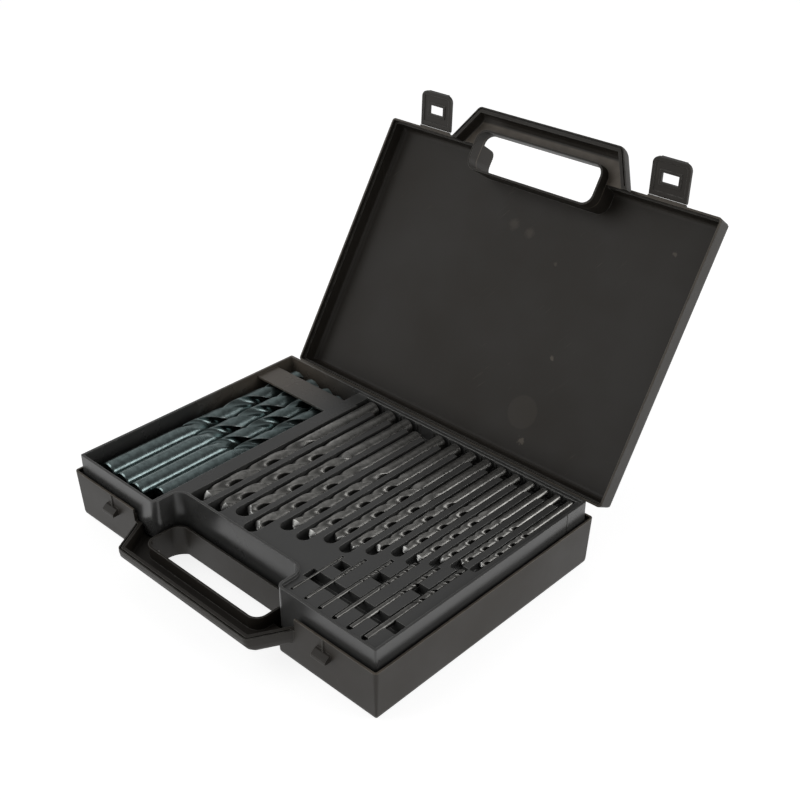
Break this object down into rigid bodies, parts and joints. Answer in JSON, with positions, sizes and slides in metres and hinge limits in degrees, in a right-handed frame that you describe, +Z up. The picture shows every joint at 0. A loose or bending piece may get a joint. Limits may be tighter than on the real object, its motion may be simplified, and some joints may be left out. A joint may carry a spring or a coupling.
{
  "type": "drill bit case",
  "caption": "Open moulded carrying case with a hinged lid, two latch tongues, a slotted inner tray and a graded set of twist drills held in it",
  "frame": {"origin": "the middle of the flat underside of the base", "axes": "+X to the right along the front of the open case, -Y towards the carrying handle, +Z up"},
  "size_m": [0.2434, 0.2962, 0.2001],
  "materials": {
    "case_plastic": "satin moulded",
    "tray_plastic": "satin moulded",
    "black_oxide_steel": "black steam oxide with worn edges",
    "blued_steel": "ground shank, blue-grey",
    "pin_steel": "bright drawn wire"
  },
  "bodies": {
    "base": {"base_shell": "case_plastic", "drill_tray": "tray_plastic", "hinge_pin_left": "pin_steel", "hinge_pin_right": "pin_steel"},
    "lid": {"lid_shell": "case_plastic"},
    "latch_left": {"latch_left": "case_plastic"},
    "latch_right": {"latch_right": "case_plastic"},
    "drill_1_0": {"drill_1_0": "black_oxide_steel"},
    "drill_1_5": {"drill_1_5": "black_oxide_steel"},
    "drill_2_0": {"drill_2_0": "black_oxide_steel"},
    "drill_2_5": {"drill_2_5": "black_oxide_steel"},
    "drill_3_0": {"drill_3_0": "black_oxide_steel"},
    "drill_3_5": {"drill_3_5": "black_oxide_steel"},
    "drill_4_0": {"drill_4_0": "black_oxide_steel"},
    "drill_4_5": {"drill_4_5": "black_oxide_steel"},
    "drill_5_0": {"drill_5_0": "black_oxide_steel"},
    "drill_5_5": {"drill_5_5": "black_oxide_steel"},
    "drill_6_0": {"drill_6_0": "black_oxide_steel"},
    "drill_6_5": {"drill_6_5": "black_oxide_steel"},
    "drill_7_0": {"drill_7_0": "black_oxide_steel"},
    "drill_7_5": {"drill_7_5": "black_oxide_steel"},
    "drill_8_0": {"drill_8_0": "black_oxide_steel"},
    "drill_8_5": {"drill_8_5": "black_oxide_steel"},
    "drill_9_0": {"drill_9_0": "black_oxide_steel"},
    "drill_9_5": {"drill_9_5": "black_oxide_steel"},
    "drill_10_0": {"drill_10_0": "black_oxide_steel"},
    "drill_10_5": {"drill_10_5": "black_oxide_steel"},
    "drill_11_5": {"drill_11_5": "blued_steel"},
    "drill_12_0": {"drill_12_0": "blued_steel"},
    "drill_12_5": {"drill_12_5": "blued_steel"},
    "drill_13_0": {"drill_13_0": "blued_steel"}
  },
  "joints": [
    {"name": "lid_hinge", "type": "hinge", "parent": "base", "child": "lid", "pos_m": [0, 0.088, 0.032], "axis": [1, 0, 0], "range_deg": [0, 122.5]},
    {"name": "latch_left_hinge", "type": "hinge", "parent": "lid", "child": "latch_left", "pos_m": [-0.086, 0.18282, 0.17861], "axis": [1, 0, 0], "range_deg": [-70, 60]},
    {"name": "latch_right_hinge", "type": "hinge", "parent": "lid", "child": "latch_right", "pos_m": [0.086, 0.18282, 0.17861], "axis": [1, 0, 0], "range_deg": [-70, 60]},
    {"name": "drill_1_0_lift", "type": "slide", "parent": "base", "child": "drill_1_0", "axis": [0, 0, -1], "range_m": [-0.025, 0]},
    {"name": "drill_1_5_lift", "type": "slide", "parent": "base", "child": "drill_1_5", "axis": [0, 0, -1], "range_m": [-0.025, 0]},
    {"name": "drill_2_0_lift", "type": "slide", "parent": "base", "child": "drill_2_0", "axis": [0, 0, -1], "range_m": [-0.025, 0]},
    {"name": "drill_2_5_lift", "type": "slide", "parent": "base", "child": "drill_2_5", "axis": [0, 0, -1], "range_m": [-0.025, 0]},
    {"name": "drill_3_0_lift", "type": "slide", "parent": "base", "child": "drill_3_0", "axis": [0, 0, -1], "range_m": [-0.025, 0]},
    {"name": "drill_3_5_lift", "type": "slide", "parent": "base", "child": "drill_3_5", "axis": [0, 0, -1], "range_m": [-0.025, 0]},
    {"name": "drill_4_0_lift", "type": "slide", "parent": "base", "child": "drill_4_0", "axis": [0, 0, -1], "range_m": [-0.025, 0]},
    {"name": "drill_4_5_lift", "type": "slide", "parent": "base", "child": "drill_4_5", "axis": [0, 0, -1], "range_m": [-0.025, 0]},
    {"name": "drill_5_0_lift", "type": "slide", "parent": "base", "child": "drill_5_0", "axis": [0, 0, -1], "range_m": [-0.025, 0]},
    {"name": "drill_5_5_lift", "type": "slide", "parent": "base", "child": "drill_5_5", "axis": [0, 0, -1], "range_m": [-0.025, 0]},
    {"name": "drill_6_0_lift", "type": "slide", "parent": "base", "child": "drill_6_0", "axis": [0, 0, -1], "range_m": [-0.025, 0]},
    {"name": "drill_6_5_lift", "type": "slide", "parent": "base", "child": "drill_6_5", "axis": [0, 0, -1], "range_m": [-0.025, 0]},
    {"name": "drill_7_0_lift", "type": "slide", "parent": "base", "child": "drill_7_0", "axis": [0, 0, -1], "range_m": [-0.025, 0]},
    {"name": "drill_7_5_lift", "type": "slide", "parent": "base", "child": "drill_7_5", "axis": [0, 0, -1], "range_m": [-0.025, 0]},
    {"name": "drill_8_0_lift", "type": "slide", "parent": "base", "child": "drill_8_0", "axis": [0, 0, -1], "range_m": [-0.025, 0]},
    {"name": "drill_8_5_lift", "type": "slide", "parent": "base", "child": "drill_8_5", "axis": [0, 0, -1], "range_m": [-0.025, 0]},
    {"name": "drill_9_0_lift", "type": "slide", "parent": "base", "child": "drill_9_0", "axis": [0, 0, -1], "range_m": [-0.025, 0]},
    {"name": "drill_9_5_lift", "type": "slide", "parent": "base", "child": "drill_9_5", "axis": [0, 0, -1], "range_m": [-0.025, 0]},
    {"name": "drill_10_0_lift", "type": "slide", "parent": "base", "child": "drill_10_0", "axis": [0, 0, -1], "range_m": [-0.025, 0]},
    {"name": "drill_10_5_lift", "type": "slide", "parent": "base", "child": "drill_10_5", "axis": [0, 0, -1], "range_m": [-0.025, 0]},
    {"name": "drill_11_5_tilt", "type": "hinge", "parent": "base", "child": "drill_11_5", "pos_m": [0, 0.0505, 0.03145], "axis": [1, 0, 0], "range_deg": [-7, 0]},
    {"name": "drill_12_0_tilt", "type": "hinge", "parent": "base", "child": "drill_12_0", "pos_m": [0, 0.0505, 0.0317], "axis": [1, 0, 0], "range_deg": [-7, 0]},
    {"name": "drill_12_5_tilt", "type": "hinge", "parent": "base", "child": "drill_12_5", "pos_m": [0, 0.0505, 0.03195], "axis": [1, 0, 0], "range_deg": [-7, 0]},
    {"name": "drill_13_0_tilt", "type": "hinge", "parent": "base", "child": "drill_13_0", "pos_m": [0, 0.0505, 0.0322], "axis": [1, 0, 0], "range_deg": [-7, 0]}
  ]
}
